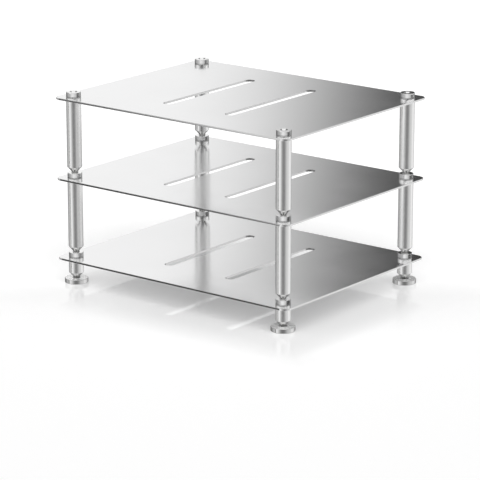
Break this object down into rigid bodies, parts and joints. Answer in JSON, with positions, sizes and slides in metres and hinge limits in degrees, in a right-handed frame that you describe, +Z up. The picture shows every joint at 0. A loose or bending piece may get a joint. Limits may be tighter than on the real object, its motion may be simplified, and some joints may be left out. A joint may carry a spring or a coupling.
{
  "type": "audio equipment rack",
  "caption": "Open metal rack for audio components: thin slotted sheets on turned posts whose spikes stand in the cups of the tier below, and on loose floor discs.",
  "frame": {"origin": "on the floor, under the middle of the rack", "axes": "+X to the right along the wide front edge, +Y to the rear, +Z up"},
  "size_m": [0.58, 0.46, 0.3913],
  "materials": {
    "satin_sheet": "finely satin-polished stainless sheet",
    "polished_steel": "turned and mirror-polished stainless bar",
    "felt": "dense black felt"
  },
  "bodies": {
    "floor_discs": {"floor_disc_front_left": "polished_steel", "floor_disc_front_right": "polished_steel", "floor_disc_rear_left": "polished_steel", "floor_disc_rear_right": "polished_steel", "floor_pad_front_left": "felt", "floor_pad_front_right": "felt", "floor_pad_rear_left": "felt", "floor_pad_rear_right": "felt"},
    "base_tier": {"bottom_shelf": "satin_sheet", "base_leg_front_left": "polished_steel", "base_leg_front_right": "polished_steel", "base_leg_rear_left": "polished_steel", "base_leg_rear_right": "polished_steel", "base_cup_front_left": "polished_steel", "base_cup_front_right": "polished_steel", "base_cup_rear_left": "polished_steel", "base_cup_rear_right": "polished_steel"},
    "middle_tier": {"middle_shelf": "satin_sheet", "middle_post_front_left": "polished_steel", "middle_post_front_right": "polished_steel", "middle_post_rear_left": "polished_steel", "middle_post_rear_right": "polished_steel", "middle_cup_front_left": "polished_steel", "middle_cup_front_right": "polished_steel", "middle_cup_rear_left": "polished_steel", "middle_cup_rear_right": "polished_steel"},
    "top_tier": {"top_shelf": "satin_sheet", "top_post_front_left": "polished_steel", "top_post_front_right": "polished_steel", "top_post_rear_left": "polished_steel", "top_post_rear_right": "polished_steel", "top_cup_front_left": "polished_steel", "top_cup_front_right": "polished_steel", "top_cup_rear_left": "polished_steel", "top_cup_rear_right": "polished_steel"}
  },
  "joints": [
    {"name": "base_tier_lift", "type": "slide", "parent": "floor_discs", "child": "base_tier", "axis": [0, 0, 1], "range_m": [0, 0.05]},
    {"name": "middle_tier_lift", "type": "slide", "parent": "base_tier", "child": "middle_tier", "axis": [0, 0, 1], "range_m": [0, 0.1]},
    {"name": "top_tier_lift", "type": "slide", "parent": "middle_tier", "child": "top_tier", "axis": [0, 0, 1], "range_m": [0, 0.1]}
  ]
}
